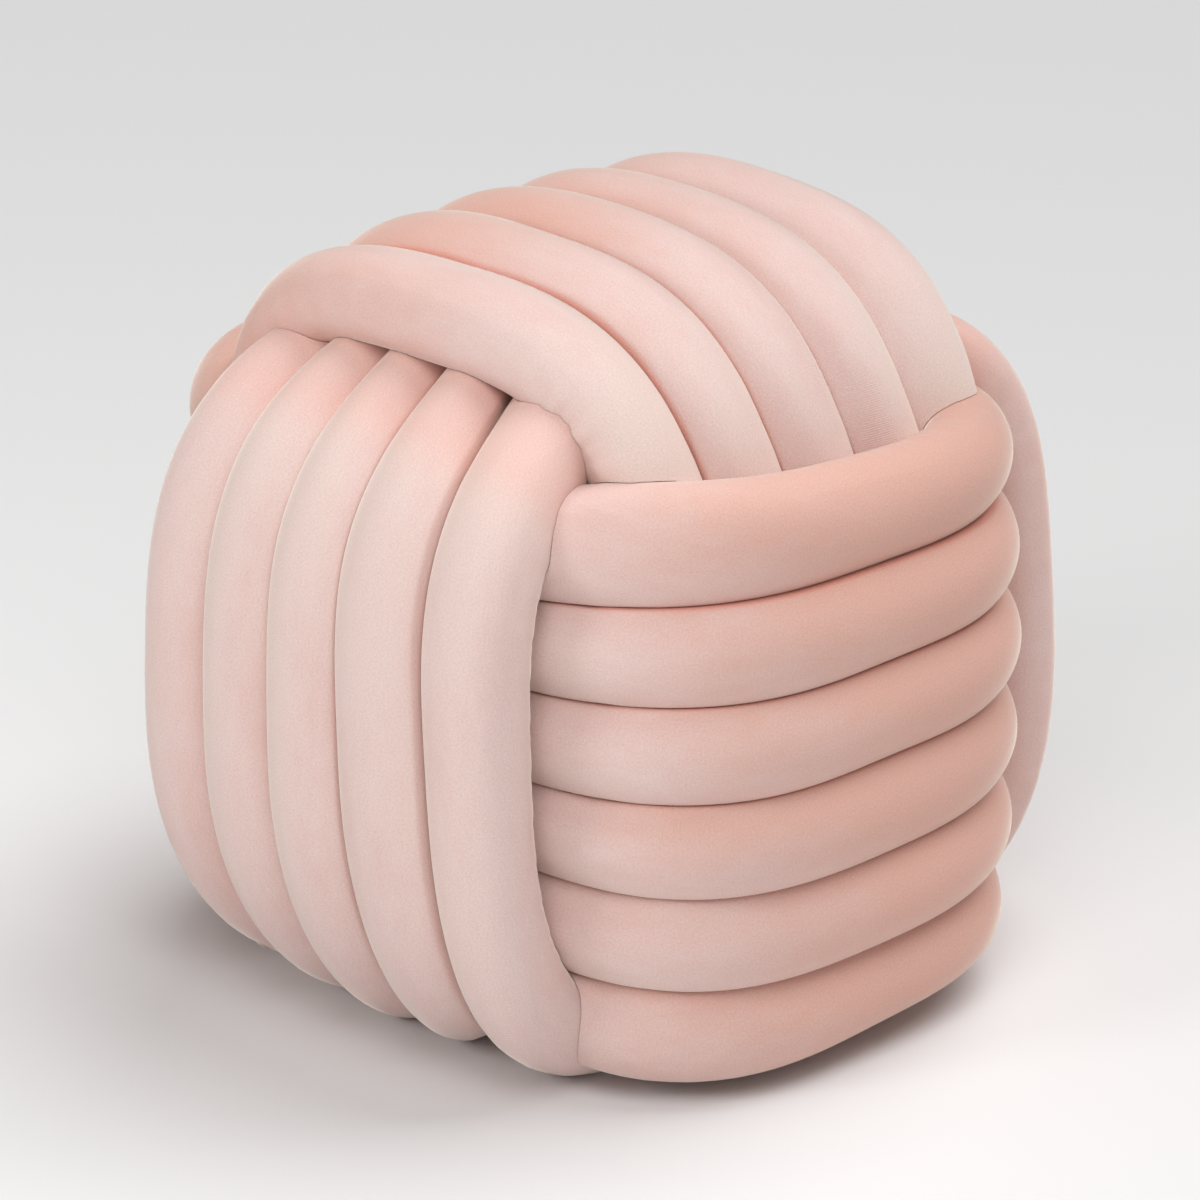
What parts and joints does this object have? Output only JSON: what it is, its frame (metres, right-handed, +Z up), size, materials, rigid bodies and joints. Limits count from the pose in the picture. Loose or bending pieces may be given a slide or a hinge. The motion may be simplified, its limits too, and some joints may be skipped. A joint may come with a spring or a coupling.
{
  "type": "braided velvet pouf",
  "caption": "Cube-like floor pouf of stuffed velvet tubes woven in three crossing bands, soft and rounded, flat on its base.",
  "frame": {"origin": "on the floor, under the middle of the pouf", "axes": "+Z up; the level side tubes face +X and -X, the upright tubes face -Y and +Y"},
  "size_m": [0.4414, 0.446, 0.41],
  "materials": {
    "velvet": "short-pile blush pink velvet with a soft sheen"
  },
  "bodies": {
    "root": {"right_tube_1": "velvet", "right_tube_2": "velvet", "right_tube_3": "velvet", "right_tube_4": "velvet", "right_tube_5": "velvet", "right_tube_6": "velvet", "left_tube_1": "velvet", "left_tube_2": "velvet", "left_tube_3": "velvet", "left_tube_4": "velvet", "left_tube_5": "velvet", "left_tube_6": "velvet", "front_tube_1": "velvet", "front_tube_2": "velvet", "front_tube_3": "velvet", "front_tube_4": "velvet", "front_tube_5": "velvet", "back_tube_1": "velvet", "back_tube_2": "velvet", "back_tube_3": "velvet", "back_tube_4": "velvet", "back_tube_5": "velvet", "top_tube_1": "velvet", "top_tube_2": "velvet", "top_tube_3": "velvet", "top_tube_4": "velvet", "top_tube_5": "velvet", "base_tube_1": "velvet", "base_tube_2": "velvet", "base_tube_3": "velvet", "base_tube_4": "velvet", "base_tube_5": "velvet"}
  },
  "joints": []
}
